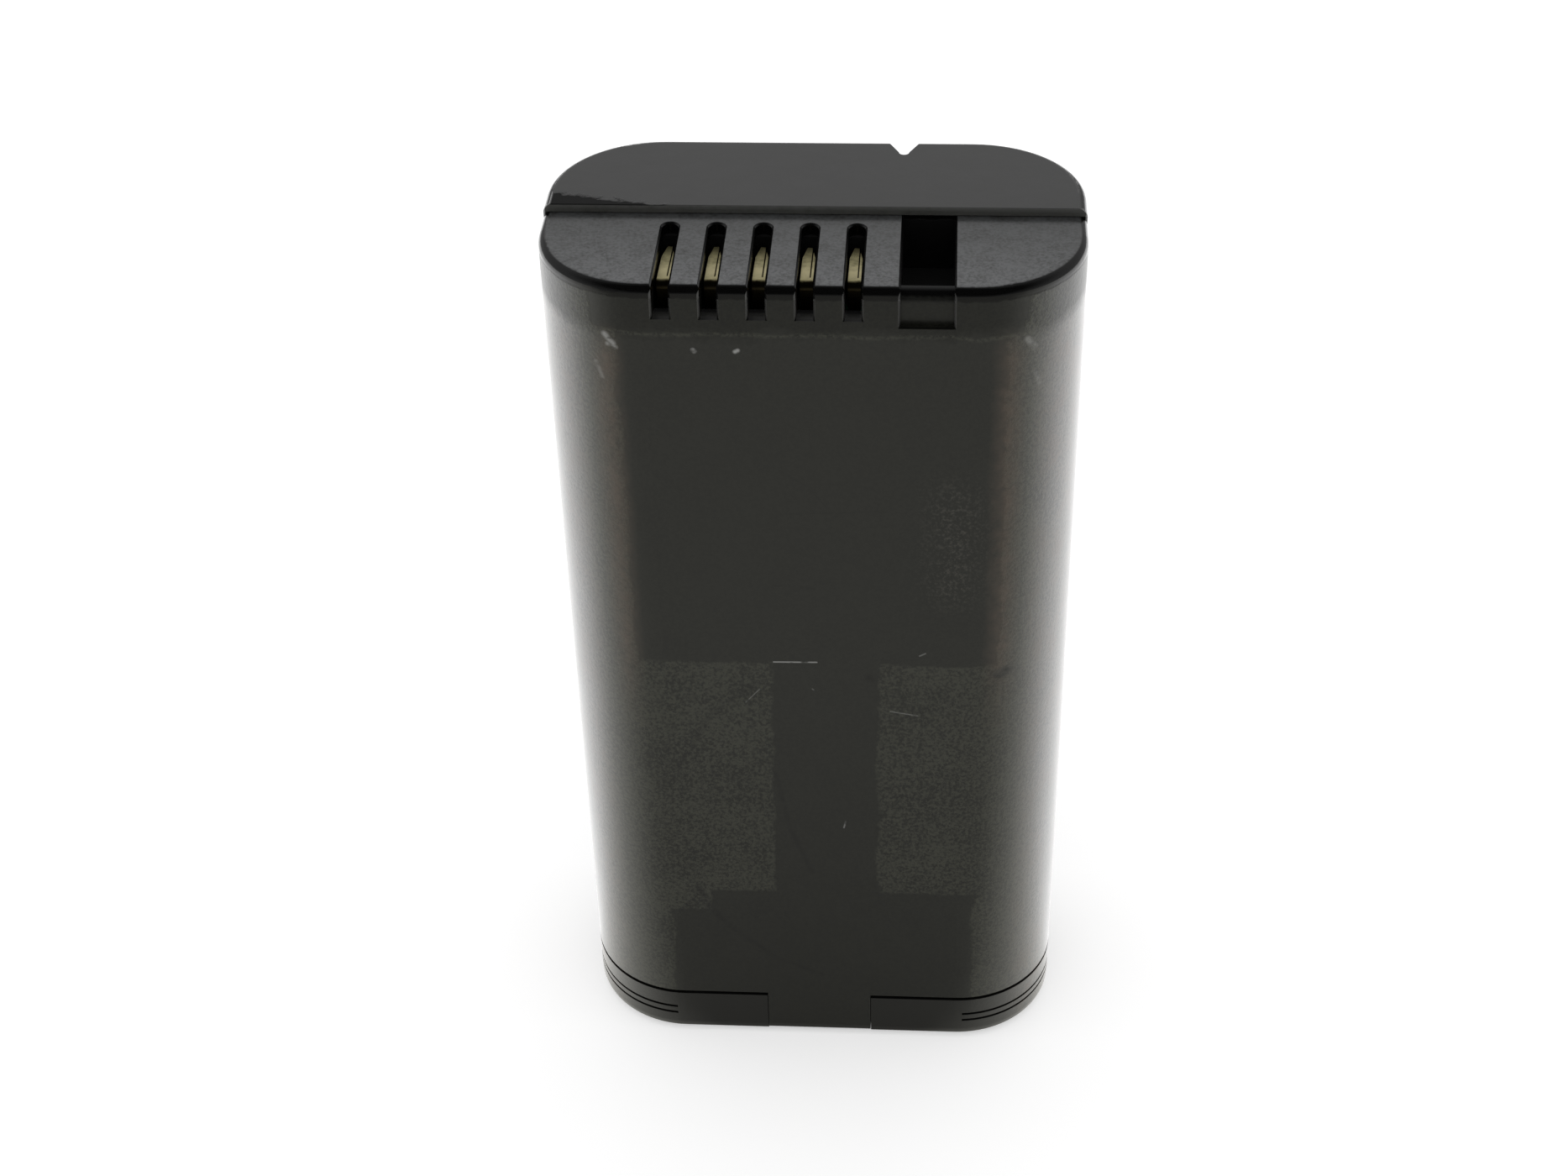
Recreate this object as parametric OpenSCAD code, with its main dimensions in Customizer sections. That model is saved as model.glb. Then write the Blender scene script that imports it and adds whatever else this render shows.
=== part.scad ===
// Rechargeable battery pack for a handheld cable locator.
// Two round cells stand side by side in a case of two shells and an end cap.
// Spring contacts lie in open slots at the top, towards -Y, beside a key slot.
// Origin at the centre of the underside, +Z up, +X to the right of the contact side.

/* [Cells] */
// Diameter of a bare cell can
cell_d = 18.2; // [17:0.1:19]
// Length of a cell over its terminals
cell_l = 65.2; // [60:0.1:70]
// Thickness of the shrink sleeve
sleeve_t = 0.15; // [0.1:0.05:0.3]
// Gap between the two sleeves
cell_gap = 0.2; // [0.1:0.1:1]
// Radius of the raised positive terminal
terminal_r = 4.6; // [4:0.1:5.2]
// Height of the positive terminal above the crimped edge
terminal_h = 0.45; // [0.4:0.05:0.7]
// Width of the sleeve lip that is folded over the crimped edge
sleeve_lip = 1.5; // [1:0.1:2]

/* [Case] */
// Wall of the shells, the end cap and the top
wall = 1.6; // [1.4:0.1:2.2]
// Outer radius of the upright corners
corner_r = 8.5; // [7.5:0.1:9]
// Rounding of the top rim
rim_r = 0.7; // [0.4:0.1:1]
// Rounding of the bottom edge
base_r = 1.2; // [0.6:0.1:1.4]
// Room between a cell and the side walls
side_room = 0.3; // [0.1:0.05:0.6]
// Room between a cell and the front and back walls
face_room = 0.15; // [0.1:0.05:0.5]
// Top wall over the contact block
lid_t = 0.9; // [0.7:0.1:1.2]
// Rise of the back shell above the front shell
step_h = 0.6; // [0.2:0.1:0.8]
// Rounding of the edge of that rise
step_r = 0.25; // [0.1:0.05:0.3]

/* [Seam and ribs] */
// Thickness of the tongue along the seam
seam_t = 0.5; // [0.4:0.05:0.6]
// Reach of the tongue into its groove
seam_h = 0.8; // [0.5:0.1:1.2]
// Depth of the fine groove along the seam on both sides
seam_line = 0.15; // [0.05:0.05:0.25]
// Thickness of a rib that cradles the cells
rib_t = 1.2; // [0.8:0.1:2]
// Height of the lowest rib above the cap's lip
rib_rise = 4; // [2:0.5:8]
// Depth of the highest rib below the cells' upper ends
rib_drop = 8; // [6:0.5:12]
// Number of ribs in each shell
rib_count = 5; // [3:1:6]
// Room between a rib and a sleeve
rib_room = 0.25; // [0.2:0.05:0.5]

/* [End cap] */
// Height of the parting line above the underside
cap_h = 4.9; // [4.6:0.1:7]
// Open gap at the parting line
cap_gap = 0.35; // [0.1:0.05:0.5]
// Floor of the end cap
floor_t = 1.5; // [1.3:0.1:1.8]
// Thickness of the lip that enters the shells
lip_t = 0.7; // [0.5:0.05:0.9]
// Height of the lip above the parting line
lip_h = 1.5; // [1:0.1:2.5]
// Width of the latch tongue on the front shell
latch_w = 9.1; // [6:0.1:12]
// Reach of the latch catch over the floor
catch_d = 0.45; // [0.3:0.05:0.5]
// Height of the lowest grip groove above the underside
grip_z = 2.25; // [2:0.05:2.4]
// Distance between the two grip grooves
grip_pitch = 0.75; // [0.6:0.05:0.9]
// Width of a grip groove
grip_w = 0.25; // [0.15:0.05:0.35]
// Depth of a grip groove
grip_d = 0.4; // [0.2:0.05:0.6]
// Distance of the inner ends of the grooves from the middle
grip_x = 12.7; // [10:0.1:14]
// Room at each side of the latch tongue
latch_room = 0.05; // [0.03:0.01:0.15]

/* [Contacts] */
// Number of contacts
contact_count = 5; // [5]
// Distance between contacts
contact_pitch = 3.5; // [3.3:0.1:3.7]
// Middle of the row of contacts from the middle of the case
row_x = -3.65; // [-4.2:0.05:-3.2]
// Width of a slot in the case
slot_w = 1.25; // [1:0.05:1.4]
// Distance from the seam plane to the closed end of a slot
slot_back = 1.4; // [1.2:0.1:2]
// Depth of a slot down the front wall
slot_drop = 2.7; // [2:0.1:3.5]
// Bevel at the mouths of the contact slots and the key slot
slot_edge = 0.15; // [0.05:0.05:0.2]
// Height of the contact block
block_h = 5.7; // [5:0.1:7]
// Width of a pocket in the block
pocket_w = 1.9; // [1.6:0.05:2]
// End walls of the block
block_wall = 1.1; // [0.8:0.05:1.3]
// Height of the low front wall of a pocket above the board
sill_h = 1; // [0.6:0.1:2.4]
// Thickness of that low wall
sill_t = 0.8; // [0.5:0.1:1]
// Thickness of the contact strip
leaf_t = 0.25; // [0.15:0.05:0.3]
// Width of the contact strip
leaf_w = 0.95; // [0.8:0.05:1]
// Width of the strip's free tip
tip_w = 0.35; // [0.3:0.05:0.6]
// Length over which the strip narrows to its tip
tip_run = 1.7; // [1:0.1:3]
// Drop of the free tip below the upper bend
tip_drop = 0.3; // [0:0.05:0.6]
// Width of the slit along the strip
slit_w = 0.1; // [0.05:0.05:0.15]
// Distance of the slit from the strip's middle
slit_x = 0.25; // [0.2:0.05:0.3]
// Outer radius of the strip's two bends
bend_r = 0.6; // [0.4:0.05:0.8]
// Length of the strip's foot on the board
foot_l = 1.6; // [1.2:0.1:2]

/* [Key slot and notch] */
// Width of the key slot
key_w = 3.9; // [3.5:0.1:4.1]
// Depth of the key slot below the front shell's top
key_depth = 4.5; // [4:0.1:4.7]
// Wall and floor of the key pocket
key_wall = 0.8; // [0.6:0.05:1]
// Gap between the contact block and the key pocket
key_gap = 0.55; // [0.3:0.05:0.8]
// Depth of the recess in the front wall at the key slot
recess_d = 0.6; // [0.4:0.05:0.8]
// Height of that recess below the front shell's top
recess_drop = 3.25; // [2.5:0.05:3.6]
// Distance of the wall's crest in the recess below the front shell's top
crest_drop = 0.55; // [0.4:0.05:0.8]
// Middle of the notch in the back edge
notch_x = 6.6; // [4:0.1:9]
// Width of the notch at the back face
notch_w = 2.9; // [2:0.1:3.4]
// Width of the notch at its root
notch_root = 0.8; // [0.5:0.1:1.2]
// Depth of the notch from the back face
notch_d = 2.4; // [1.6:0.1:2.8]
// Height of the notch
notch_h = 2.5; // [1.5:0.1:3.2]

/* [Board and flat pieces] */
// Thickness of the circuit board
board_t = 0.8; // [0.6:0.1:1.2]
// Height of the board carrier
carrier_h = 1.2; // [1:0.1:2]
// Width of the carrier's frame
carrier_w = 1.4; // [1:0.1:1.6]
// Thickness of the insulating cards
card_t = 0.3; // [0.2:0.05:0.5]
// Thickness of the nickel strips
strip_t = 0.2; // [0.1:0.05:0.3]
// Width of the nickel tabs
tab_w = 5; // [4:0.1:6]
// Thickness of the foam pad
pad_t = 0.8; // [0.5:0.1:1.5]
// Outer radius of the balance lead
lead_r = 0.6; // [0.4:0.05:0.7]
// Radius of the thermistor bead
bead_r = 1.1; // [0.8:0.05:1.1]

/* [Parts on the board] */
// Length of the gauge chip's body
gauge_l = 6.5; // [6.1:0.1:7]
// Length of a switch transistor's body
switch_l = 3; // [2.6:0.1:3.2]
// Width of the chips' bodies
chip_w = 3.4; // [3:0.1:3.8]
// Height of the chips' bodies
chip_h = 0.9; // [0.6:0.05:1]
// Leads on each long side of the gauge chip
gauge_leads = 10; // [6:1:10]
// Leads on each long side of a switch transistor
switch_leads = 4; // [3:1:4]
// Distance between a chip's leads
lead_pitch = 0.65; // [0.5:0.05:0.65]
// Reach of the leads from a chip's body
lead_reach = 1; // [0.6:0.1:1.2]
// Thickness of a chip's leads
lead_t = 0.15; // [0.1:0.05:0.2]
// Length of the sense resistor
sense_l = 5.2; // [4:0.1:5.6]
// Width of the sense resistor
sense_w = 3.2; // [2.5:0.1:3.4]
// Length of the fuse
fuse_l = 4; // [3:0.1:4.5]
// Width of the fuse
fuse_w = 3; // [2:0.1:3.2]
// Length of a chip resistor or capacitor
passive_l = 1.6; // [1:0.1:2]
// Width of a chip resistor or capacitor
passive_w = 0.8; // [0.5:0.1:1]
// Gap between the contact block and the chip parts beside it
block_gap = 0.85; // [0.5:0.05:1.5]
// Distance between neighbouring parts
part_gap = 0.8; // [0.5:0.1:0.9]

/* [Clearances] */
// Room between the board stack and the case walls
board_room = 0.35; // [0.25:0.05:0.6]
// Room around the seam tongue and the cap's lip, and under the latch tongue
fit_room = 0.1; // [0.05:0.01:0.2]
// Room above the contact block
block_room = 0.05; // [0.02:0.01:0.15]
// Room around pegs, leads and tails in their holes
hole_room = 0.1; // [0.05:0.01:0.2]

/* [Hidden] */
$fn = 96;
// Overshoot of a cut past the face that it opens
over = 1;

// Plan of the case, worked out from the cells that it holds
cell_r = cell_d / 2;
sleeve_r = cell_r + sleeve_t;
cell_x = sleeve_r + cell_gap / 2;
case_w = 2 * (cell_x + sleeve_r + side_room + wall);
case_d = 2 * (sleeve_r + face_room + wall);
inner_y = case_d / 2 - wall;

// Heights, stacked from the underside to the top
pad_z = floor_t;
low_card_z = pad_z + pad_t;
link_z = low_card_z + card_t;
cell_z = link_z + strip_t;
tab_z = cell_z + cell_l;
top_card_z = tab_z + strip_t;
carrier_z = top_card_z + card_t;
board_z = carrier_z + carrier_h;
board_top = board_z + board_t;
block_top = board_top + block_h;
front_h = block_top + block_room + lid_t;
case_h = front_h + step_h;
front_ceiling = front_h - wall;
back_ceiling = case_h - wall;
shell_z = cap_h + cap_gap / 2;
cap_top = cap_h - cap_gap / 2;
lip_top = cap_h + lip_h;
rib_low = lip_top + rib_rise;
rib_high = tab_z - rib_drop;

// Contact row, key slot and their pockets
first_x = row_x - (contact_count - 1) / 2 * contact_pitch;
last_x = first_x + (contact_count - 1) * contact_pitch;
block_side = pocket_w / 2 + block_wall;
block_y = inner_y - fit_room;
block_back = seam_h + 4 * fit_room;
key_x = last_x + block_side + key_gap + key_wall + key_w / 2;
key_floor = front_h - key_depth;
key_side = key_w / 2 + key_wall;
key_web = 1.2;
seam_top_z = front_ceiling + (wall - seam_t) / 2;
crest_r = wall - recess_d;
leaf_front = block_y - sill_t - fit_room;
leaf_h = block_h - fit_room;
tip_y = slot_back + slot_w;
tail_y = leaf_front - foot_l;

// Places of the pegs, leads and parts of the board, counted from the cells
peg_r = 0.7;
peg_x = case_w / 2 - wall - board_room - carrier_w - peg_r - 0.2;
boss_r = peg_r + 0.9;
block_peg_r = 0.4 * block_wall;
block_peg_x = (last_x - first_x) / 2 + block_side - block_wall / 2;
block_peg_y = inner_y / 2;
tail_w = 0.6;
tail_out = 0.6;
tab_y = inner_y - board_room - carrier_w - 0.9;
lead_y = inner_y - board_room - carrier_w - 2.2;
bead_y = sqrt(pow(sleeve_r + bead_r + rib_room + hole_room, 2) - pow(cell_x, 2));
bead_lead_r = 0.23 * bead_r;
bead_lead_x = 0.58 * bead_r;
chip_y = chip_w / 2 + lead_reach + board_room;
gauge_x = part_gap + gauge_l / 2 - cell_x;
switch_x = cell_x - part_gap - switch_l / 2;
sense_x = -cell_x - part_gap - sense_w / 2;
fuse_x = cell_x + part_gap + fuse_w / 2;
passive_x = block_side - first_x + block_gap + passive_l / 2;
passive_y = peg_r + hole_room;
passive_pitch = passive_w + part_gap;

// One quarter of a profile's corner, to be cut away so that radius q is left
module corner_bite(q) {
    difference() {
        square(q + over);
        circle(q);
    }
}

// Upright profile of a case edge, from the axis out to x
module edge_profile(x, z0, z1, top_q, low_q) {
    difference() {
        translate([0, z0]) square([x, z1 - z0]);
        if (top_q > 0) translate([x - top_q, z1 - top_q]) corner_bite(top_q);
        if (low_q > 0) translate([x - low_q, z0 + low_q]) mirror([0, 1]) corner_bite(low_q);
    }
}

// The same profile on both sides of the axis
module full_profile(x, z0, z1, top_q, low_q) {
    edge_profile(x, z0, z1, top_q, low_q);
    mirror([1, 0]) edge_profile(x, z0, z1, top_q, low_q);
}

// Solid block with the case's plan, drawn in by an inset, with rounded rims
module case_block(inset, z0, z1, top_q, low_q) {
    r = corner_r - inset;
    x = case_w / 2 - inset - r;
    y = case_d / 2 - inset - r;
    for (sx = [-1, 1], sy = [-1, 1])
        translate([sx * x, sy * y, 0]) rotate_extrude() edge_profile(r, z0, z1, top_q, low_q);
    rotate([90, 0, 90]) linear_extrude(2 * x, center = true)
        full_profile(y + r, z0, z1, top_q, low_q);
    rotate([90, 0, 0]) linear_extrude(2 * y, center = true)
        full_profile(x + r, z0, z1, top_q, low_q);
}

// Plan outline of the case, drawn in by an inset
module case_outline(inset) {
    r = corner_r - inset;
    x = case_w / 2 - inset - r;
    y = case_d / 2 - inset - r;
    square([2 * x, 2 * (y + r)], center = true);
    square([2 * (x + r), 2 * y], center = true);
    for (sx = [-1, 1], sy = [-1, 1])
        translate([sx * x, sy * y]) circle(r);
}

// Plate with the case's plan
module plate(inset, z, t) {
    translate([0, 0, z]) linear_extrude(t) case_outline(inset);
}

// Everything on one side of the seam plane, -1 for the front and 1 for the back
module half_space(side, z0, z1) {
    translate([-case_w, side > 0 ? 0 : -case_d, z0]) cube([2 * case_w, case_d, z1 - z0]);
}

// Box that is centred on x and runs from y0 to y1 and from z0 to z1
module span(x, w, y0, y1, z0, z1) {
    translate([x - w / 2, y0, z0]) cube([w, y1 - y0, z1 - z0]);
}

// Hollow half of the case with the rabbet that takes the cap's lip
module shell_half(side, top, ceiling) {
    difference() {
        intersection() {
            case_block(0, 0, top, rim_r, base_r);
            half_space(side, shell_z, top + over);
        }
        plate(wall, 0, ceiling);
        plate(wall - lip_t - fit_room, 0, lip_top);
        for (sx = [-1, 1]) translate([sx * case_w / 2, 0, 0]) linear_extrude(top + over)
            rotate(45) square(sqrt(2) * seam_line, center = true);
    }
}

// Ribs that cradle both cells, with a gap in the front ones for the balance lead
module cradle_ribs(side) {
    depth = case_d / 2 - sleeve_r / 2;
    for (i = [0 : rib_count - 1])
        translate([0, 0, rib_low + i * (rib_high - rib_low) / (rib_count - 1)])
            linear_extrude(rib_t) difference() {
                intersection() {
                    case_outline(wall - 0.1);
                    translate([-case_w / 2, side > 0 ? sleeve_r / 2 : -case_d / 2])
                        square([case_w, depth]);
                }
                for (sx = [-1, 1]) translate([sx * cell_x, 0]) circle(sleeve_r + rib_room);
                if (side < 0) translate([-lead_r - rib_room, -lead_y - lead_r - rib_room])
                    square([2 * (lead_r + rib_room), lead_y]);
            }
}

// Tongue along the seam, or with room added its groove
module seam_tongue(room) {
    t = seam_t + 2 * room;
    reach = seam_h + room;
    low = lip_top + 1 - room;
    high = front_ceiling - 1.5 + room;
    for (sx = [-1, 1])
        span(sx * (case_w / 2 - wall / 2), t, -reach, over * room, low, high);
    difference() {
        span(0, case_w - 2 * corner_r, -reach, over * room, seam_top_z - room, seam_top_z + seam_t + room);
        span(key_x, 2 * (key_side + seam_t - room), -case_d, case_d, key_floor, case_h);
    }
}

// Latch tongue of the front shell, which closes the gap in the end cap's wall
module latch_tongue() {
    low = fit_room;
    intersection() {
        case_block(0, low, front_h, rim_r, base_r);
        span(0, latch_w, -case_d / 2, -inner_y, low, lip_top + 2 * fit_room + over);
    }
    catch_z = floor_t + fit_room;
    translate([-latch_w / 4, 0, 0]) rotate([90, 0, 90]) linear_extrude(latch_w / 2)
        polygon([[-inner_y - 0.1, catch_z], [-inner_y + catch_d, catch_z],
            [-inner_y, catch_z + 2 * catch_d], [-inner_y - 0.1, catch_z + 2 * catch_d]]);
}

// Plan of one contact slot, closed by a half circle
module slot_plan() {
    y = slot_back + slot_w / 2;
    translate([0, -y]) circle(slot_w / 2);
    translate([-slot_w / 2, -case_d / 2 - over]) square([slot_w, case_d / 2 + over - y]);
    translate([0, -case_d / 2]) bevel_profile(slot_w);
}

// Wedge that bevels both edges of an opening in the face at y = 0
module bevel_profile(w) {
    wide = w / 2 + 2 * slot_edge;
    polygon([[-w / 2, slot_edge], [w / 2, slot_edge], [wide, -slot_edge], [-wide, -slot_edge]]);
}

// Bevel along the mouth of a slot in the top face, from y to the front
module mouth_bevel(w, y) {
    translate([0, y, front_h]) rotate([90, 0, 0]) linear_extrude(case_d)
        mirror([0, 1]) bevel_profile(w);
}

// Contact slot with its bevelled mouth
module slot_cut() {
    y = slot_back + slot_w / 2;
    translate([0, 0, front_h - slot_drop]) linear_extrude(slot_drop + over) slot_plan();
    mouth_bevel(slot_w, -y);
    translate([0, -y, front_h - slot_edge])
        cylinder(r1 = slot_w / 2, r2 = slot_w / 2 + 2 * slot_edge, h = 2 * slot_edge);
}

// Cut of the key slot with its front recess and the rounded crest of the wall
module key_cut() {
    span(key_x, key_w, -inner_y, over, key_floor, front_h + over);
    translate([key_x, 0, 0]) mouth_bevel(key_w, over);
    translate([key_x, -case_d / 2, front_h - recess_drop]) linear_extrude(recess_drop + over)
        bevel_profile(key_w);
    face = -case_d / 2 + recess_d;
    crest_z = front_h - crest_drop;
    translate([key_x - key_w / 2, 0, 0]) rotate([90, 0, 90]) linear_extrude(key_w) {
        translate([face - recess_d - over, front_h - recess_drop])
            square([recess_d + over, recess_drop + over]);
        difference() {
            translate([face - 0.1, crest_z - crest_r])
                square([crest_r + 0.2, crest_r + crest_drop + over]);
            translate([-inner_y, crest_z - crest_r]) circle(crest_r);
        }
    }
}

module front_shell() {
    color([0.2, 0.2, 0.19]) difference() {
        union() {
            difference() {
                shell_half(-1, front_h, front_ceiling);
                span(row_x, last_x - first_x + 2 * (block_side + fit_room),
                    -inner_y, -block_back + fit_room, front_ceiling - over, front_h - lid_t);
            }
            latch_tongue();
            cradle_ribs(-1);
            span(key_x, 2 * key_side, -inner_y - 0.1, 0, key_floor - key_wall, front_ceiling + 0.1);
        }
        seam_tongue(fit_room);
        key_cut();
        for (i = [0 : contact_count - 1])
            translate([first_x + i * contact_pitch, 0, 0]) slot_cut();
    }
}

// Plan of the notch, from the back face to its rounded root
module notch_plan() {
    root_r = notch_root / 2;
    run = notch_d - root_r;
    translate([notch_x, case_d / 2]) {
        polygon([[-notch_w / 2, over / 10], [notch_w / 2, over / 10],
            [root_r, -run], [-root_r, -run]]);
        translate([0, -run]) circle(root_r);
    }
}

module back_shell() {
    color([0.22, 0.22, 0.21]) difference() {
        union() {
            shell_half(1, case_h, back_ceiling);
            seam_tongue(0);
            cradle_ribs(1);
            span(key_x, 2 * key_side, 0, key_web, key_floor - key_wall, back_ceiling + 0.1);
            span(notch_x, notch_w + 2 * key_wall, case_d / 2 - notch_d - key_wall,
                inner_y + 0.1, case_h - notch_h - key_wall, back_ceiling + 0.1);
        }
        translate([0, 0, case_h - notch_h]) linear_extrude(notch_h + over) notch_plan();
        translate([-case_w / 2 - over, step_r, case_h - step_r]) rotate([90, 0, 90])
            linear_extrude(case_w + 2 * over) mirror([1, 0]) corner_bite(step_r);
    }
}

// Band that a grip groove takes out of the end cap
module grip_groove(z) {
    difference() {
        translate([0, 0, z - grip_w / 2]) linear_extrude(grip_w) difference() {
            case_outline(-over / 2);
            case_outline(grip_d);
        }
        span(0, 2 * grip_x, -case_d, case_d, 0, case_h);
    }
}

module end_cap() {
    color([0.16, 0.16, 0.15]) difference() {
        union() {
            case_block(0, 0, cap_top, 0, base_r);
            plate(wall - lip_t, floor_t, lip_top - floor_t);
        }
        plate(wall, floor_t, lip_top);
        for (i = [0, 1]) grip_groove(grip_z + i * grip_pitch);
        span(0, latch_w + 2 * latch_room, -case_d, -inner_y + fit_room, -over, lip_top + over);
    }
}

module contact_block() {
    w = last_x - first_x + 2 * block_side;
    color([0.12, 0.12, 0.12]) difference() {
        union() {
            span(row_x, w, -block_y, -block_back, board_top, block_top);
            for (sx = [-1, 1]) translate([row_x + sx * block_peg_x, -block_peg_y, board_z])
                cylinder(r = block_peg_r, h = board_t + 0.1);
        }
        for (i = [0 : contact_count - 1]) {
            x = first_x + i * contact_pitch;
            span(x, pocket_w, sill_t - block_y, -slot_back - slot_w / 4, board_z - over,
                block_top + over);
            span(x, pocket_w, -block_y - over, sill_t - block_y + 0.1, board_top + sill_h,
                block_top + over);
        }
    }
}

// Quarter ring of the contact strip, as the upper or the lower bend
module strip_bend(z, up) {
    translate([-leaf_front + bend_r, z]) intersection() {
        difference() {
            circle(bend_r);
            circle(bend_r - leaf_t);
        }
        translate([-bend_r - over, up ? 0 : -bend_r - over]) square(bend_r + over);
    }
}

// Side view of the contact strip: foot, lower bend, riser, upper bend and spring arm
module strip_profile() {
    y = -leaf_front + bend_r;
    translate([y, 0]) square([-tail_y + leaf_t - y, leaf_t]);
    strip_bend(bend_r, false);
    translate([-leaf_front, bend_r]) square([leaf_t, leaf_h - 2 * bend_r]);
    strip_bend(leaf_h - bend_r, true);
    polygon([[y, leaf_h], [y, leaf_h - leaf_t], [-tip_y, leaf_h - tip_drop - leaf_t],
        [-tip_y, leaf_h - tip_drop]]);
}

// Spring contact, bent from one strip, with a slit arm and a tail through the board
module contact(i) {
    slit_l = leaf_front - bend_r - leaf_t - tip_y;
    arm_z = leaf_h - tip_drop - leaf_t - over;
    color([0.79, 0.67, 0.34])
        translate([first_x + (i - 1) * contact_pitch, 0, board_top]) {
            difference() {
                rotate([90, 0, 90]) linear_extrude(leaf_w, center = true) strip_profile();
                translate([0, -tip_y, arm_z]) linear_extrude(leaf_h) {
                    for (sx = [-1, 1]) polygon([[sx * leaf_w / 2, -tip_run],
                        [sx * tip_w / 2, 0], [sx * tip_w / 2, over], [sx * leaf_w, over],
                        [sx * leaf_w, -tip_run]]);
                    translate([slit_x - slit_w / 2, -slit_l]) square([slit_w, slit_l + over]);
                }
            }
            span(0, tail_w, -tail_y, -tail_y + leaf_t, -board_t - tail_out, leaf_t / 2);
        }
}

module circuit_board() {
    color([0.1, 0.35, 0.2]) difference() {
        plate(wall + board_room, board_z, board_t);
        translate([0, 0, board_z - over]) {
            for (sx = [-1, 1]) {
                translate([sx * peg_x, 0]) cylinder(r = peg_r + hole_room, h = board_t + 2 * over);
                translate([row_x + sx * block_peg_x, -block_peg_y])
                    cylinder(r = block_peg_r + hole_room, h = board_t + 2 * over);
                translate([sx * bead_lead_x, bead_y])
                    cylinder(r = bead_lead_r + hole_room, h = board_t + 2 * over);
                span(sx * cell_x, tab_w + 2 * hole_room, tab_y - hole_room,
                    tab_y + strip_t + hole_room, 0, board_t + 2 * over);
            }
            translate([0, -lead_y]) cylinder(r = lead_r / 2 + hole_room, h = board_t + 2 * over);
            for (i = [0 : contact_count - 1])
                span(first_x + i * contact_pitch, tail_w + 2 * hole_room,
                    -tail_y - hole_room, -tail_y + leaf_t + hole_room, 0, board_t + 2 * over);
        }
    }
}

module board_carrier() {
    color([0.85, 0.84, 0.8]) {
        difference() {
            plate(wall + board_room, carrier_z, carrier_h);
            plate(wall + board_room + carrier_w, carrier_z - over, carrier_h + 2 * over);
        }
        for (sx = [-1, 1]) translate([sx * peg_x, 0, carrier_z]) {
            cylinder(r = boss_r, h = carrier_h);
            cylinder(r = peg_r, h = carrier_h + board_t);
        }
    }
}

// Chip with a row of bent leads on each long side
module leaded_chip(x, body_l, leads) {
    lead_w = lead_pitch / 3;
    lift = lead_t / 2;
    side = chip_w / 2;
    foot = side + lead_reach / 2;
    bend_z = chip_h / 2;
    translate([x, chip_y, board_top]) {
        span(0, body_l, -side, side, lift, lift + chip_h);
        for (i = [0 : leads - 1], sy = [-1, 1]) mirror([0, sy < 0 ? 1 : 0, 0])
            translate([(i - (leads - 1) / 2) * lead_pitch, 0, 0]) {
                span(0, lead_w, foot, side + lead_reach, 0, lead_t);
                span(0, lead_w, foot, foot + lead_t, 0, bend_z + lead_t);
                span(0, lead_w, side - lead_t, foot + lead_t, bend_z, bend_z + lead_t);
            }
    }
}

module gauge_chip() {
    color([0.15, 0.15, 0.16]) leaded_chip(gauge_x, gauge_l, gauge_leads);
}

module switch_transistor(x) {
    color([0.15, 0.15, 0.16]) leaded_chip(x, switch_l, switch_leads);
}

module sense_resistor() {
    color([0.25, 0.22, 0.2]) span(sense_x, sense_w, chip_y - sense_l / 2, chip_y + sense_l / 2,
        board_top, board_top + 2 * chip_h / 3);
}

module safety_fuse() {
    color([0.75, 0.72, 0.65]) span(fuse_x, fuse_w, chip_y - fuse_l / 2, chip_y + fuse_l / 2,
        board_top, board_top + chip_h);
}

// Chip resistors and capacitors, in a row near each end of the board
module chip_parts() {
    color([0.6, 0.5, 0.38]) for (i = [0 : 3], sx = [-1, 1]) {
        y = passive_y + i * passive_pitch;
        span(sx * passive_x, passive_l, -y - passive_w, -y, board_top, board_top + chip_h / 2);
    }
}

// Bead on the back shell's top rib, between the cells, with two leads up through the board
module thermistor() {
    z = rib_high + rib_t;
    color([0.12, 0.12, 0.13]) {
        translate([0, bead_y, z]) rotate_extrude() {
            intersection() {
                translate([0, bead_r]) circle(bead_r);
                square([bead_r, bead_r]);
            }
            translate([0, bead_r]) square([bead_r, bead_r]);
        }
        for (sx = [-1, 1]) translate([sx * bead_lead_x, bead_y, z + bead_r])
            cylinder(r = bead_lead_r, h = board_top + 0.4 - z - bead_r);
    }
}

// Half section of a cell can with its crimped edge, bead groove and terminal
module cell_profile() {
    foot_r = 0.6;
    groove_z = cell_l - terminal_h - 3.6;
    groove_r = 0.6;
    difference() {
        union() {
            edge_profile(cell_r, 0, cell_l - terminal_h, foot_r, foot_r);
            square([terminal_r, cell_l]);
        }
        translate([cell_r, groove_z]) circle(groove_r);
    }
}

// Places a cell's pieces, with the positive terminal up at the left and down at the right
module at_cell(sx) {
    if (sx < 0) translate([-cell_x, 0, cell_z]) children();
    else translate([cell_x, 0, cell_z + cell_l]) rotate([180, 0, 0]) children();
}

module cell(sx) {
    color([0.72, 0.73, 0.74]) at_cell(sx) rotate_extrude() cell_profile();
}

module cell_sleeve(sx) {
    top = cell_l - terminal_h;
    color([0.18, 0.5, 0.45]) at_cell(sx) rotate_extrude() {
        translate([cell_r, 0]) square([sleeve_t, top + sleeve_t]);
        translate([sleeve_r - sleeve_lip, top]) square([sleeve_lip, sleeve_t]);
    }
}

module cell_ring(sx) {
    gap = 0.1;
    ring_t = terminal_h - 0.15;
    color([0.9, 0.9, 0.88]) at_cell(sx) rotate_extrude()
        translate([terminal_r + gap, cell_l - terminal_h])
            square([sleeve_r - sleeve_lip - terminal_r - 2 * gap, ring_t]);
}

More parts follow.
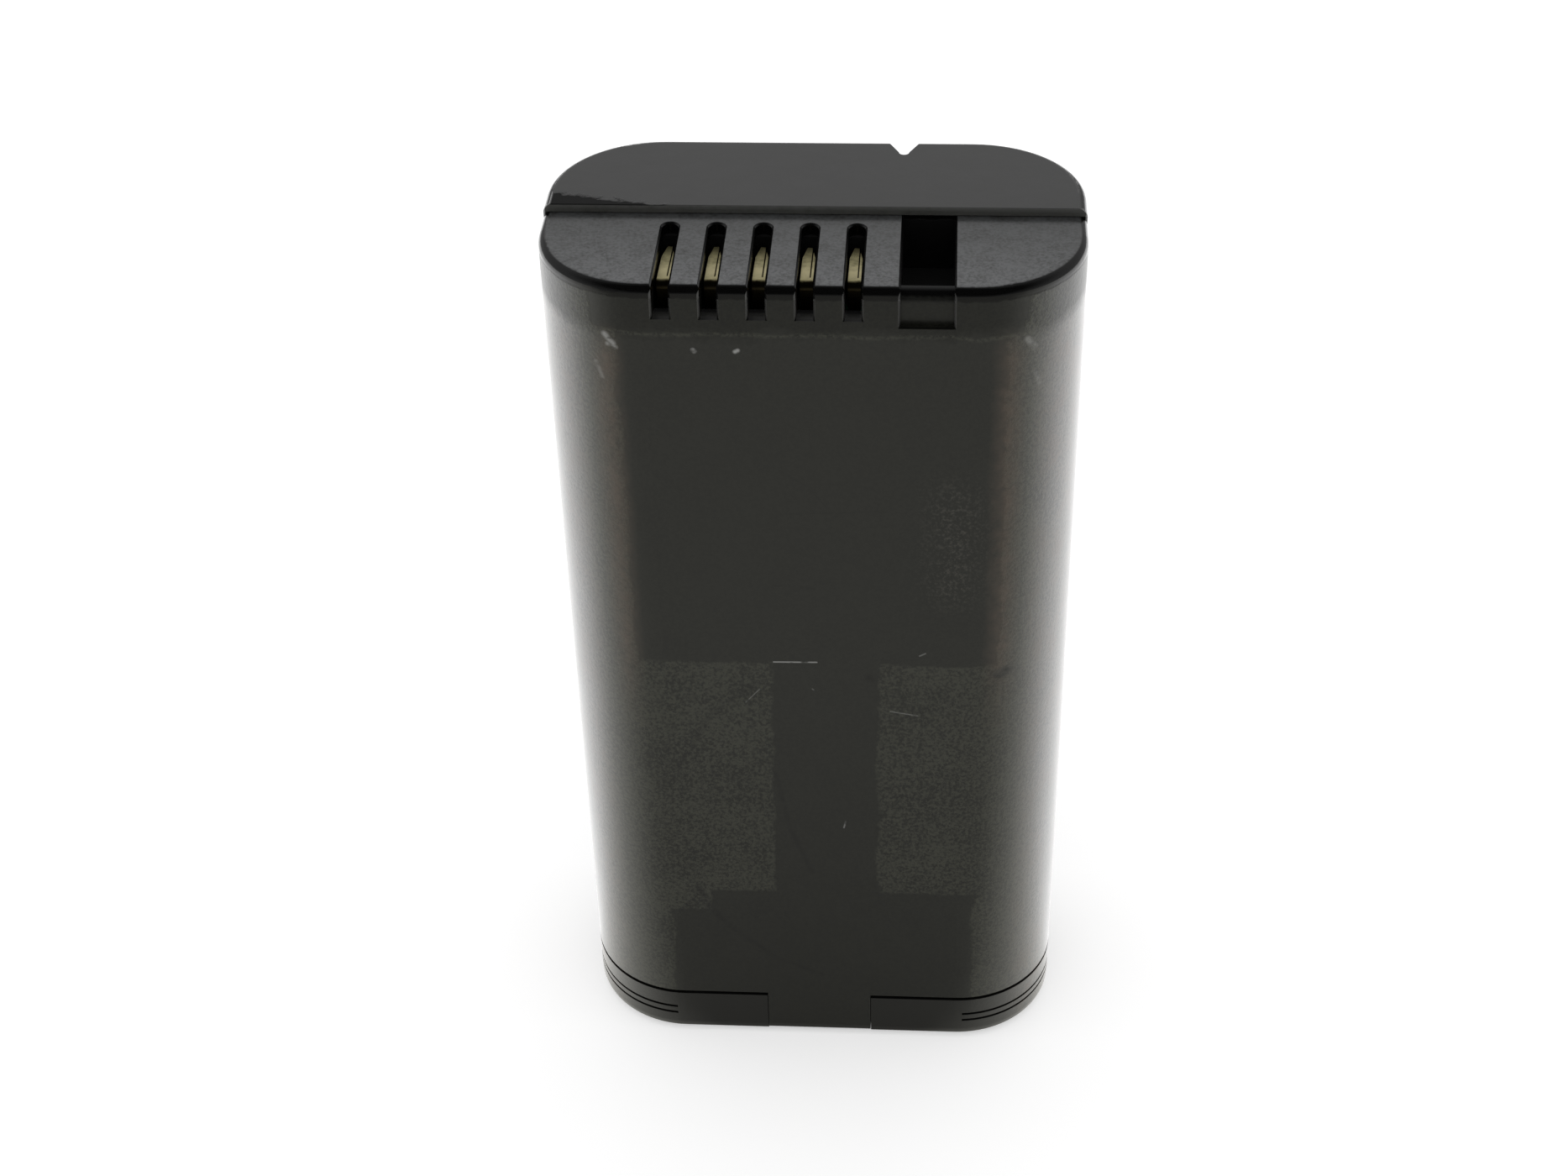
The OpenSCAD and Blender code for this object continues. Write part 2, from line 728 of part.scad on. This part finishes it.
// Strip under both cells, with an ear for the balance lead
module cell_link_strip() {
    w = tab_w + 2;
    ear = lead_r + 1;
    color([0.76, 0.76, 0.74]) translate([0, 0, link_z]) linear_extrude(strip_t) difference() {
        union() {
            square([2 * cell_x, w], center = true);
            for (sx = [-1, 1]) translate([sx * cell_x, 0]) circle(w / 2);
            translate([-ear, -lead_y - ear]) square([2 * ear, lead_y]);
        }
        for (sx = [-1, 1]) translate([sx * cell_x, 0]) square([w / 2, 0.8], center = true);
    }
}

// Tab from a cell's upper end, bent up through the board
module cell_tab(sx) {
    color([0.76, 0.76, 0.74]) {
        span(sx * cell_x, tab_w, -tab_w / 2, tab_y + strip_t, tab_z, tab_z + strip_t);
        span(sx * cell_x, tab_w, tab_y, tab_y + strip_t, tab_z, board_top + 0.6);
    }
}

// Insulated wire up the valley between the cells, bared where it enters the board
module balance_lead() {
    color([0.75, 0.15, 0.1]) translate([0, -lead_y, cell_z]) {
        cylinder(r = lead_r, h = board_z - cell_z);
        cylinder(r = lead_r / 2, h = board_top + 0.4 - cell_z);
    }
}

module top_insulator() {
    color([0.8, 0.75, 0.6]) difference() {
        plate(wall + board_room, top_card_z, card_t);
        translate([0, 0, top_card_z - over]) {
            for (sx = [-1, 1]) {
                span(sx * cell_x, tab_w + 2 * hole_room, tab_y - hole_room,
                    tab_y + strip_t + hole_room, 0, card_t + 2 * over);
                translate([sx * bead_lead_x, bead_y])
                    cylinder(r = bead_lead_r + hole_room, h = card_t + 2 * over);
            }
            translate([0, -lead_y]) cylinder(r = lead_r + hole_room, h = card_t + 2 * over);
        }
    }
}

module bottom_insulator() {
    color([0.8, 0.75, 0.6]) plate(wall + catch_d + 2 * fit_room, low_card_z, card_t);
}

module foam_pad() {
    color([0.3, 0.3, 0.32]) plate(wall + catch_d + 1.5, pad_z, pad_t);
}

front_shell();
back_shell();
end_cap();
contact_block();
contact(1);  // contact_1
contact(2);  // contact_2
contact(3);  // contact_3
contact(4);  // contact_4
contact(5);  // contact_5
circuit_board();
board_carrier();
gauge_chip();
switch_transistor(switch_x - switch_l - part_gap);  // switch_transistor_1
switch_transistor(switch_x);  // switch_transistor_2
sense_resistor();
safety_fuse();
chip_parts();
thermistor();
cell(-1);  // cell_left
cell(1);  // cell_right
cell_sleeve(-1);  // cell_left_sleeve
cell_sleeve(1);  // cell_right_sleeve
cell_ring(-1);  // cell_left_ring
cell_ring(1);  // cell_right_ring
cell_link_strip();
cell_tab(-1);  // positive_tab
cell_tab(1);  // negative_tab
balance_lead();
top_insulator();
bottom_insulator();
foam_pad();
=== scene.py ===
import bpy
import math
from mathutils import Matrix, Vector


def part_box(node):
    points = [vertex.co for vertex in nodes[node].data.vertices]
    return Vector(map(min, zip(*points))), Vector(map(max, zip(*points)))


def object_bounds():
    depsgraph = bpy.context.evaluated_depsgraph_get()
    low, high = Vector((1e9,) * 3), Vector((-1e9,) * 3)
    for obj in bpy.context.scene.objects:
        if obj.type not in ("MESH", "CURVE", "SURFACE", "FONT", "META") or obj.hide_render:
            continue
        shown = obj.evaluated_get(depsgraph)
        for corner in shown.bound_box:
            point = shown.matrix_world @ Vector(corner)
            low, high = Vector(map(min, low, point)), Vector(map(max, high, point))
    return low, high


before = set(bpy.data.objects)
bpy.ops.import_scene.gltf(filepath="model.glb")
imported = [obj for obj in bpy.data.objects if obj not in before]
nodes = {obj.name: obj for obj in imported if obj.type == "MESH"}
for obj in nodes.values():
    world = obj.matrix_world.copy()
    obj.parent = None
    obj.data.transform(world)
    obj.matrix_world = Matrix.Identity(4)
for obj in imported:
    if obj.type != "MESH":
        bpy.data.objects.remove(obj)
caseLow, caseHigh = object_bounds()
mm = 0.001
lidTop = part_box("front_shell")[1].z / mm
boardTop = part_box("circuit_board")[1].z / mm
cornerR = 8.5   # radius of the case's upright corners in mm
straightX = caseHigh.x / mm - cornerR
straightY = -caseLow.y / mm - cornerR


# A socket takes a value, or a link from another node
def fill(tree, target, value):
    if isinstance(value, Sig):
        tree.links.new(value.socket, target)
    else:
        target.default_value = value


# Every node is added here, its settings first and then its sockets, by name or by number
def addNode(tree, kind, sockets=None, **settings):
    node = tree.nodes.new(kind)
    for setting, value in settings.items():
        setattr(node, setting, value)
    for socket, value in (sockets or {}).items():
        fill(tree, node.inputs[socket], value)
    return node


# One socket of a node, so that shader maths reads as plain sums
class Sig:
    def __init__(self, tree, socket):
        self.tree = tree
        self.socket = socket

    def maths(self, how, other=0.0, clamp=False):
        node = addNode(self.tree, "ShaderNodeMath", {0: self, 1: other}, operation=how, use_clamp=clamp)
        return Sig(self.tree, node.outputs[0])

    def flipped(self, how, other):
        node = addNode(self.tree, "ShaderNodeMath", {0: other, 1: self}, operation=how)
        return Sig(self.tree, node.outputs[0])

    def __add__(self, other): return self.maths("ADD", other)
    def __radd__(self, other): return self.maths("ADD", other)
    def __sub__(self, other): return self.maths("SUBTRACT", other)
    def __rsub__(self, other): return self.flipped("SUBTRACT", other)
    def __mul__(self, other): return self.maths("MULTIPLY", other)
    def __rmul__(self, other): return self.maths("MULTIPLY", other)
    def __truediv__(self, other): return self.maths("DIVIDE", other)
    def __abs__(self): return self.maths("ABSOLUTE")
    def clip(self): return self.maths("ADD", 0.0, clamp=True)
    def high(self, other): return self.maths("MAXIMUM", other)
    def over(self, edge, soft): return ((self - (edge - soft)) / (2 * soft)).clip()
    def under(self, edge, soft): return 1 - self.over(edge, soft)


# A material, its shader and the nodes that feed it
class Finish:
    def __init__(self, name, kind="ShaderNodeBsdfPrincipled", **constants):
        self.material = bpy.data.materials.new(name)
        self.material.use_nodes = True
        self.tree = self.material.node_tree
        self.tree.nodes.clear()
        self.shader = addNode(self.tree, kind)
        self.feed(**constants)
        surface = Sig(self.tree, self.shader.outputs[0])
        addNode(self.tree, "ShaderNodeOutputMaterial", {"Surface": surface})

    def node(self, kind, output=0, **sockets):
        return Sig(self.tree, addNode(self.tree, kind, sockets).outputs[output])

    def place(self, scale):
        raw = self.node("ShaderNodeTexCoord", output="Object")
        return self.node("ShaderNodeMapping", Vector=raw, Scale=scale)

    def axes(self, per=1):
        raw = self.node("ShaderNodeTexCoord", output="Object")
        split = addNode(self.tree, "ShaderNodeSeparateXYZ", {0: raw})
        return [Sig(self.tree, axis) * per for axis in split.outputs]

    def noise(self, size, detail=3.0, rough=0.5, scale=(1, 1, 1)):   # size in mm
        return self.node("ShaderNodeTexNoise", Vector=self.place(scale), Scale=1 / (size * mm),
                         Detail=detail, Roughness=rough)

    def blend(self, factor, first, second):
        first, second = (c if isinstance(c, Sig) else (*c, 1) for c in (first, second))
        colours = {0: factor, 6: first, 7: second}   # the numbers of a Mix node's colour sockets
        return Sig(self.tree, addNode(self.tree, "ShaderNodeMix", colours, data_type="RGBA").outputs[2])

    def feed(self, **sockets):
        for socket, value in sockets.items():
            fill(self.tree, self.shader.inputs[socket.replace("_", " ")], value)
        return self

    def bump(self, height, depth):
        return self.feed(Normal=self.node("ShaderNodeBump", Strength=1.0, Distance=depth, Height=height))


def wear(node, material):
    nodes[node].data.materials.clear()
    nodes[node].data.materials.append(material)


print("frame loaded, box", [round(v, 4) for v in (*caseLow, *caseHigh)])

# Moulded case: near-black plastic with a fine eroded grain, rubbed smooth in places; its pockets, bevels
# and rim carry painted shade, and its lid and step painted light.
# Colours, then grain, then the places of rim, step and dust; lengths in mm
caseLook = {
    "smooth": (0.006, 0.0063, 0.0046),
    "grained": (0.034, 0.035, 0.024),
    # lid: painted reflection, lighter than the back's top and lighter still towards the front
    "lid": (0.038, 0.04, 0.041),
    "lidFrontSheen": (0.108, 0.111, 0.115),
    "top": (0.011, 0.0115, 0.011),
    # step: painted light on the step's face, lighter than its shade would be
    "litStepFace": (0.05, 0.051, 0.047),
    # rim: painted near black as shade, for the dark that the glossy rim mirrors
    "rim": (0.0012, 0.0012, 0.0012),
    # inside: painted shade for pockets, bevels and fine grooves
    "inside": (0.002, 0.002, 0.002),
    "residue": (0.075, 0.05, 0.034),
    "dusty": (0.11, 0.099, 0.084),
    "brown": (0.105, 0.074, 0.055),
    "scratch": (0.3, 0.3, 0.29),
    # scuff: colour of the dark scuffs, and of the painted shade on the sagged edge
    "scuffAndShade": (0.0015, 0.0015, 0.0013),
    "rough": 0.34,
    "lidRough": 0.2,
    "rimRough": 0.15,
    "grainSize": 0.26,
    "grainDepth": 0.03,
    "mottleSize": 2.2,
    "patchSize": 5,
    "raggedSize": 0.7,
    "waveSize": 2.5,
    "waveDepth": 0.03,
    "frontFrom": -8.5,     # Y where the front wall's marks end
    "rimWidth": 0.95,      # down the wall
    "rimOver": 0.4,        # across the top
    "pocketShadeFrom": 1.1,     # depth from which a pocket is painted black as shade
    "bevelShadeTo": 0.3,        # deepest part of a bevel or fine groove, which is painted dark as shade
    "bandLow": 73.2,       # lower edge of the dull band under the top
    "bandSkin": 0.35,      # gloss that is left on it
    "sideFrom": 18.4,      # X where dust gathers on the sides
    "residueAt": 14.9,     # X of the residue bands
    "stepLitFrom": 9.5,       # X from which the step's face is painted lighter, so its shaded edge fades
    "sagFrom": 11.5,       # X, to the left, where the sagged edge and its painted shade begin
    "sagGrow": 0.24,       # how fast it widens
    "sag": 0.45,           # its slope
}

# Places on the front wall where it is rubbed smooth: left, right, lower and upper edge in mm
smoothPlaces = [
    (-14.1, 14.6, 42.7, 73.1), (-3.5, 5.2, 15, 44), (-12.6, 13.4, -1, 15.2), (-9, 13.4, 14, 17.6),
    (-16, 16, 73.35, 80),
]

hazePlace = (9.4, 12.8, 49, 60)   # and where a light haze is left

# Light marks and dark scuffs on the front wall: both ends, half width and strength
lightMarks = [
    ((-3.15, 42.8), (0.29, 42.85), 0.06, 0.8), ((6.2, 37.9), (8.4, 37.5), 0.05, 0.35),
    ((-4.32, 40.0), (-5.52, 38.56), 0.04, 0.3), ((8.5, 43.7), (8.95, 43.95), 0.06, 0.35),
    ((-14.9, 72.9), (-14.3, 72.2), 0.2, 0.7), ((-14.7, 72.1), (-14.1, 71.9), 0.16, 0.6),
    ((-8.4, 71.9), (-8.3, 71.8), 0.15, 0.8), ((16.0, 72.6), (16.6, 71.7), 0.2, 0.35),
    ((16.7, 69.6), (17.1, 68.3), 0.15, 0.25), ((-15.7, 70.3), (-15.3, 69.1), 0.15, 0.25),
    ((-5.3, 71.8), (-5.1, 71.9), 0.14, 0.9), ((2.5, 25.8), (2.35, 25.1), 0.06, 0.5),
    ((-0.1, 40.1), (0.0, 40.0), 0.05, 0.3),
]
darkMarks = [
    ((-2.34, 61.36), (-0.2, 59.9), 0.07, 0.4), ((-0.2, 59.9), (1.3, 57.94), 0.07, 0.4),
    ((-2.24, 57.32), (5.78, 57.64), 0.06, 0.4), ((-3.05, 50.46), (0.23, 50.21), 0.08, 0.45),
    ((-10.2, 17.8), (-9.4, 15.4), 0.3, 0.6), ((-9.4, 15.4), (-7.2, 12.8), 0.3, 0.6),
    ((-7.2, 12.8), (-3.7, 9.5), 0.24, 0.5), ((-3.7, 9.5), (0.3, 7.6), 0.2, 0.45),
    ((-3.3, 31.0), (-2.2, 25.0), 0.2, 0.5), ((-2.2, 25.0), (-0.4, 19.8), 0.22, 0.5),
    ((-4.6, 40.6), (-8.4, 37.2), 0.25, 0.35), ((-8.4, 37.2), (-11.4, 31.2), 0.25, 0.3),
    ((14.9, 41.6), (15.4, 41.8), 0.45, 1.0), ((4.6, 41.4), (4.7, 41.2), 0.35, 0.7),
]


# Distance in mm from the stroke between two points, over its half width
def stroke(x, z, first, last, half):
    run = (last[0] - first[0], last[1] - first[1])
    length = run[0] ** 2 + run[1] ** 2
    dx, dz = x - first[0], z - first[1]
    along = ((dx * run[0] + dz * run[1]) / length).clip()
    offX, offZ = dx - along * run[0], dz - along * run[1]
    return (offX * offX + offZ * offZ).maths("SQRT").under(half, half * 0.6)


def gather(marks, x, z):
    total = None
    for first, last, half, strength in marks:
        mark = stroke(x, z, first, last, half) * strength
        total = mark if total is None else total.high(mark)
    return total


def inside(x, z, place, soft):
    left, right, low, high = place
    return x.over(left, soft) * x.under(right, soft) * z.over(low, soft) * z.under(high, soft)


def casePlastic(name, look, top, isFront):
    f = Finish(name, **shellGloss)
    x, y, z = f.axes(1000)
    fine = f.noise(look["grainSize"], detail=2.0, rough=0.75)
    patchy = f.noise(look["patchSize"], detail=2.0, rough=0.6)
    ragged = f.noise(look["raggedSize"], detail=3.0)
    coarse = f.noise(look["mottleSize"], detail=3.0, rough=0.7)
    waves = f.noise(look["waveSize"], detail=2.0)
    wander = (patchy - 0.5) * 1.6 + (ragged - 0.5) * 0.5

    # How deep a place lies under the outer wall, for the rim and for the pockets that are painted black
    # as shade
    offX, offY = (abs(x) - straightX).high(0), (abs(y) - straightY).high(0)
    depth = cornerR - (offX * offX + offY * offY).maths("SQRT")

    frontWall = y.under(look["frontFrom"], 0.5)
    worn = None
    for place in smoothPlaces:
        patch = inside(x + wander, z + wander * 0.5, place, 0.12)
        worn = patch if worn is None else worn.high(patch)
    worn = worn * frontWall

    # Top face, rim and step, then the pockets, bevels and grooves, which get painted shade
    topFace = z.over(top - 0.03, 0.02)
    lidFace = topFace * depth.over(look["rimOver"] + (ragged - 0.5) * 0.2, 0.06)
    rim = z.over(top - look["rimWidth"] - (ragged - 0.5) * 0.3, 0.08) * (1 - lidFace)
    if not isFront:
        litStepFace = y.under(0.3, 0.03) * z.over(lidTop + 0.03, 0.03) * z.under(top - 0.02, 0.02)
        rim = rim * (1 - litStepFace)
    shadedPocket = depth.over(look["pocketShadeFrom"], 0.1) * (1 - topFace)
    shadedBevel = depth.over(0.05, 0.03) * depth.under(look["bevelShadeTo"], 0.1) * (1 - topFace)
    if not isFront:
        shadedPocket = shadedPocket * (1 - litStepFace)

    # The grain is worn down on the smooth places and missing on the top
    grain = (1 - worn * 0.85) * (1 - topFace) * (1 - rim)
    speckle = ((fine - 0.45) * 5 + (patchy - 0.5) * 1.2 + 0.3).clip()
    wall = f.blend(grain * speckle, look["smooth"], look["grained"])

    # Dust on the sides below the dull band, and a light haze in front
    band = z.over(look["bandLow"] + (patchy - 0.5) * 2 + (ragged - 0.5), 0.6) * (1 - topFace)
    sides = abs(x).over(look["sideFrom"], 2.0) * (1 - topFace) * (1 - rim) * (1 - band)
    dusty = ((fine - 0.45) * 3.4 + (coarse - 0.5) * 2 + (patchy - 0.5) * 1.5 + 0.5).clip()
    dust = f.blend(coarse.over(0.52, 0.08), look["dusty"], look["brown"])
    wall = f.blend(sides * dusty, wall, dust)
    haze = inside(x, z, hazePlace, 1.5) * frontWall * ((fine - 0.5) * 5).clip()
    wall = f.blend(haze * 0.4, wall, look["dusty"])

    # The residue of an old edge stands on both corners
    offBand = abs(abs(x + wander * 0.4) - look["residueAt"])
    edge = offBand.under(0.8, 0.7) * z.over(40, 5) * z.under(72.5, 1.5)
    smear = (ragged * 0.9 + coarse * 0.9 - 0.35).clip()
    wall = f.blend(edge * frontWall * smear, wall, look["residue"])

    # The lid is painted lighter than the back's top, more towards the front, as a painted reflection
    lid = f.blend(y.under(-5, 5), look["lid"], look["lidFrontSheen"]) if isFront else look["top"]
    lidTone = ((fine - 0.5) * 2.4 + (coarse - 0.5) * 1.4 + 0.72).clip()
    colour = f.blend(topFace * lidTone, wall, lid)
    # Pockets, bevels and fine grooves are painted near black as shade
    colour = f.blend(shadedPocket.high(shadedBevel * 0.8), colour, look["inside"])
    # The rim is painted near black as shade for the dark it mirrors; its gloss is real
    colour = f.blend(rim, colour, look["rim"])
    rough = look["rough"] + shadedPocket * 0.35 + (patchy - 0.5) * 0.12 + (fine - 0.5) * 0.1 * grain
    if isFront:
        light = gather(lightMarks, x, z) * frontWall * ragged.over(0.4, 0.1)
        dark = gather(darkMarks, x, z) * frontWall * ragged.over(0.4, 0.25)
        colour = f.blend(dark, colour, look["scuffAndShade"])
        colour = f.blend(light, colour, look["scratch"])
        rough = rough + dark * 0.35
    else:   # The step's face is painted lighter towards the right, so its shaded edge fades; at the left end the edge has sagged and is painted dark as shade
        litToRight = x.over(look["stepLitFrom"], 1.2)
        colour = f.blend(litStepFace * (0.4 + ragged + litToRight * 0.3).clip(), colour, look["litStepFace"])
        reach = (x * -1 - look["sagFrom"]).high(0) * look["sagGrow"] + 0.1 + (ragged - 0.5) * 1.4
        saggedShaded = (y.under(reach, 0.25) * y.over(0.02, 0.02)
                  * x.under(0.5 - look["sagFrom"], 0.6) * topFace)
        # Painted shade on the sagged edge
        colour = f.blend(saggedShaded, colour, look["scuffAndShade"])
    f.feed(Base_Color=colour)
    lidRough = (look["lidRough"] if isFront else look["rough"]) + (patchy - 0.5) * 0.08
    rough = rough + topFace * (lidRough - rough)
    f.feed(Roughness=(rough + rim * (look["rimRough"] - rough)).clip())
    skin = (1 - rim * 0.95) * (1 - shadedPocket * 0.8) * (1 - shadedBevel * 0.7)
    skin = skin * (1 - band * (1 - look["bandSkin"]))
    relief = fine * grain * look["grainDepth"] + waves * (1 - rim) * look["waveDepth"]
    if not isFront:
        skin = skin * (1 - saggedShaded * 0.8)
        relief = relief + y * saggedShaded * look["sag"]
    f.feed(Coat_Weight=skin.clip())
    f.bump(relief, mm)
    return f.material


# Two clear layers, the body of the plastic and the skin left by handling
shellGloss = {"IOR": 1.5, "Coat_IOR": 1.5, "Coat_Roughness": 0.3}
aboveAll = 200   # a top in mm that the cap never reaches
capLook = dict(caseLook, smooth=(0.006, 0.006, 0.005), grained=(0.009, 0.009, 0.0075), rough=0.38)
wear("front_shell", casePlastic("frontPlastic", caseLook, lidTop, True))
wear("back_shell", casePlastic("backPlastic", caseLook, caseHigh.z / mm, False))
wear("end_cap", casePlastic("capPlastic", capLook, aboveAll, False))
print("case finished")

# Gold-plated springs with random tarnish, a painted highlight on the arm, painted shade round the front
# bend and a painted glint low in front
goldLook = {
    "colour": (0.62, 0.56, 0.3),
    "highlightGold": (0.95, 0.85, 0.5),
    # tarnish: random tarnish, and the painted shade round the front bend
    "tarnishAndShade": (0.05, 0.04, 0.022),
    "rough": 0.32,
    "armHighlight": -6.6,   # where the painted highlight is, along Y in mm
    "front": -8.0,    # where the painted shade of the front bend begins
    "armFrom": 4.7,   # height of the spring arm above the board
    "glint": 3,       # height of a painted glint in front
}


def goldPlate(look):
    f = Finish("goldPlate", Metallic=1.0)
    x, y, z = f.axes(1000)
    patch = f.noise(0.5, detail=4.0)
    brushed = f.noise(0.07, scale=(1, 0.12, 1))
    arm = z.over(boardTop + look["armFrom"], 0.3)
    # Painted highlight on the spring arm
    armHighlight = abs(y + (patch - 0.5) - look["armHighlight"]).under(0.9, 0.8) * arm
    colour = f.blend(patch.over(0.55, 0.15) * 0.4, look["colour"], look["tarnishAndShade"])
    colour = f.blend(armHighlight * 0.8, colour, look["highlightGold"])
    # A painted glint low on the front of the spring
    paintedGlint = abs(z - boardTop - look["glint"]).under(0.25, 0.2) * patch.over(0.4, 0.1)
    # Painted shade round the front bend, lifted at the painted glint
    shadedFront = (y + (patch - 0.5) * 0.4).under(look["front"], 0.12) * (1 - paintedGlint * 0.8)
    f.feed(Base_Color=f.blend(shadedFront, colour, look["tarnishAndShade"]))
    f.feed(Roughness=(look["rough"] + (patch - 0.5) * 0.2 + (brushed - 0.5) * 0.15).clip())
    return f.bump(brushed, 0.004 * mm).material


def plainPlastic(name, colour, rough):
    f = Finish(name)
    grain = f.noise(0.3)
    dark = tuple(c * 0.75 for c in colour)
    f.feed(Base_Color=f.blend(grain.over(0.5, 0.25), dark, colour))
    f.feed(Roughness=(rough + (grain - 0.5) * 0.15).clip())
    return f.bump(grain, 0.006 * mm).material


gold = goldPlate(goldLook)
for i in range(1, 6):
    wear(f"contact_{i}", gold)
wear("contact_block", plainPlastic("blockPlastic", (0.008, 0.008, 0.008), 0.5))

# Inner pieces, seen only when the case is opened
for node, finish in {
    "circuit_board": ("boardResist", (0.02, 0.12, 0.05), 0.3),
    "board_carrier": ("carrierPlastic", (0.66, 0.64, 0.56), 0.5),
    "gauge_chip": ("chipBody", (0.012, 0.012, 0.013), 0.45),
    "switch_transistor_1": ("transistorBody", (0.012, 0.012, 0.013), 0.45),
    "switch_transistor_2": ("transistorBodyRight", (0.012, 0.012, 0.013), 0.45),
    "sense_resistor": ("resistorCoat", (0.02, 0.018, 0.018), 0.4),
    "safety_fuse": ("fuseCeramic", (0.55, 0.5, 0.4), 0.5),
    "chip_parts": ("chipCeramic", (0.3, 0.2, 0.12), 0.4),
    "thermistor": ("epoxyBead", (0.01, 0.01, 0.012), 0.2),
    "cell_left_sleeve": ("sleeveFilm", (0.01, 0.16, 0.13), 0.25),
    "cell_right_sleeve": ("sleeveFilmRight", (0.01, 0.16, 0.13), 0.25),
    "cell_left_ring": ("ringCard", (0.78, 0.77, 0.73), 0.7),
    "cell_right_ring": ("ringCardRight", (0.78, 0.77, 0.73), 0.7),
    "balance_lead": ("leadRed", (0.5, 0.02, 0.012), 0.4),
    "top_insulator": ("fishPaper", (0.5, 0.4, 0.2), 0.75),
    "bottom_insulator": ("fishPaperLow", (0.5, 0.4, 0.2), 0.75),
    "foam_pad": ("foamBlack", (0.02, 0.02, 0.022), 0.9),
}.items():
    wear(node, plainPlastic(*finish))


def metal(name, colour, rough):
    f = Finish(name, Metallic=1.0)
    rub = f.noise(0.15, scale=(1, 1, 0.05))
    f.feed(Base_Color=f.blend(rub, tuple(c * 0.8 for c in colour), colour))
    f.feed(Roughness=(rough + (rub - 0.5) * 0.2).clip())
    return f.bump(rub, 0.003 * mm).material


for node in ("cell_left", "cell_right"):
    wear(node, metal("canSteel", (0.62, 0.62, 0.61), 0.3))
for node in ("cell_link_strip", "positive_tab", "negative_tab"):
    wear(node, metal("nickelStrip", (0.66, 0.64, 0.6), 0.35))
print("inner pieces finished")

# Camera as fitted to the outline, rim, seam and parting line of the photograph
camera = {
    "place": (9.60 * mm, -168.42 * mm, 169.37 * mm),
    "pitch": 0.6465,
    "yaw": -0.0746,
    "roll": 0.0267,
    "focal": 3012.9,   # in pixels of the 1867 pixel wide frame
    "sensor": 36.0,
    "wide": 1867,
}


def makeCamera(c):
    data = bpy.data.cameras.new("studioCamera")
    data.sensor_width = c["sensor"]
    data.lens = c["focal"] / c["wide"] * c["sensor"]
    data.clip_start = 0.01
    data.clip_end = 10
    holder = bpy.data.objects.new("studioCamera", data)
    bpy.context.scene.collection.objects.link(holder)
    turn = (Matrix.Rotation(-c["yaw"], 4, "Z") @ Matrix.Rotation(math.pi / 2 - c["pitch"], 4, "X")
            @ Matrix.Rotation(-c["roll"], 4, "Z"))
    holder.matrix_world = Matrix.Translation(c["place"]) @ turn
    bpy.context.scene.camera = holder


makeCamera(camera)

# White floor that keeps the object's shadow, in reflections dimmer towards the camera and with a painted
# shadow near the object's foot
stage = {
    "half": 1.2,
    "paper": (0.85, 0.85, 0.85),
    "paperInMirror": (0.1, 0.1, 0.1),
    "glow": 0.44,
    "side": 1.6,        # level seen in reflections to the sides and behind
    "front": 0.245,     # towards the camera
    "foot": 0.08,       # and close to the object, a painted shadow
    "footReach": 0.06,
    "turn": 0.36,       # where the side's level gives way to the front's
    "soft": 0.42,
    "plain": (1.0, 1.0, 1.0),
    "tint": (1.0, 0.99, 0.87),
}


def rayKinds(tree):
    rays = addNode(tree, "ShaderNodeLightPath")
    kinds = ("Is Camera Ray", "Is Glossy Ray", "Is Transmission Ray")
    seen, glossy, through = (Sig(tree, rays.outputs[kind]) for kind in kinds)
    return seen, glossy.high(through)


def makeFloor(s):
    bpy.ops.object.select_all(action="DESELECT")
    bpy.ops.mesh.primitive_plane_add(size=2 * s["half"], location=(0, 0, caseLow.z))
    floor = bpy.context.object
    floor.name = "studioFloor"
    f = Finish("floorWhite", "ShaderNodeAddShader")
    seen, mirrored = rayKinds(f.tree)
    x, y, z = f.axes()
    away = (x * x + y * y).maths("SQRT").high(0.001)
    front = s["foot"] + (away / s["footReach"]).clip() * (s["front"] - s["foot"])
    ahead = (y / away * -1).over(s["turn"], s["soft"])
    white = s["side"] - ahead * (s["side"] - front)
    paper = f.node("ShaderNodeBsdfDiffuse", Color=f.blend(mirrored, s["paper"], s["paperInMirror"]))
    glow = f.node("ShaderNodeEmission", Color=f.blend(mirrored * ahead, s["plain"], s["tint"]),
                  Strength=seen * s["glow"] + mirrored * white)
    fill(f.tree, f.shader.inputs[0], paper)
    fill(f.tree, f.shader.inputs[1], glow)
    floor.data.materials.append(f.material)


makeFloor(stage)

# Surroundings: even light, and in reflections a grey room with a dark place above the camera
world = {
    "paper": (1.0, 1.0, 1.0, 1.0), "light": 0.8, "mirror": 0.375, "dim": 0.016,
    "axis": (0.05, -0.62, 0.78), "edge": 0.55, "soft": 0.25,
}


def makeWorld(w):
    scene = bpy.context.scene
    scene.world = bpy.data.worlds.new("studioWorld")
    scene.world.use_nodes = True
    tree = scene.world.node_tree
    tree.nodes.clear()
    where = Sig(tree, addNode(tree, "ShaderNodeTexCoord").outputs["Generated"])
    axis = Vector(w["axis"]).normalized()
    dot = addNode(tree, "ShaderNodeVectorMath", {0: where, 1: axis}, operation="DOT_PRODUCT")
    facing = Sig(tree, dot.outputs["Value"])
    seen, mirrored = rayKinds(tree)
    level = w["mirror"] - facing.over(w["edge"], w["soft"]) * (w["mirror"] - w["dim"])
    strength = w["light"] + mirrored * (level - w["light"]) + seen * (1 - w["light"])
    back = addNode(tree, "ShaderNodeBackground", {"Color": w["paper"], "Strength": strength})
    addNode(tree, "ShaderNodeOutputWorld", {"Surface": Sig(tree, back.outputs[0])})


makeWorld(world)
bpy.context.scene.view_settings.view_transform = "Standard"
print("studio ready")
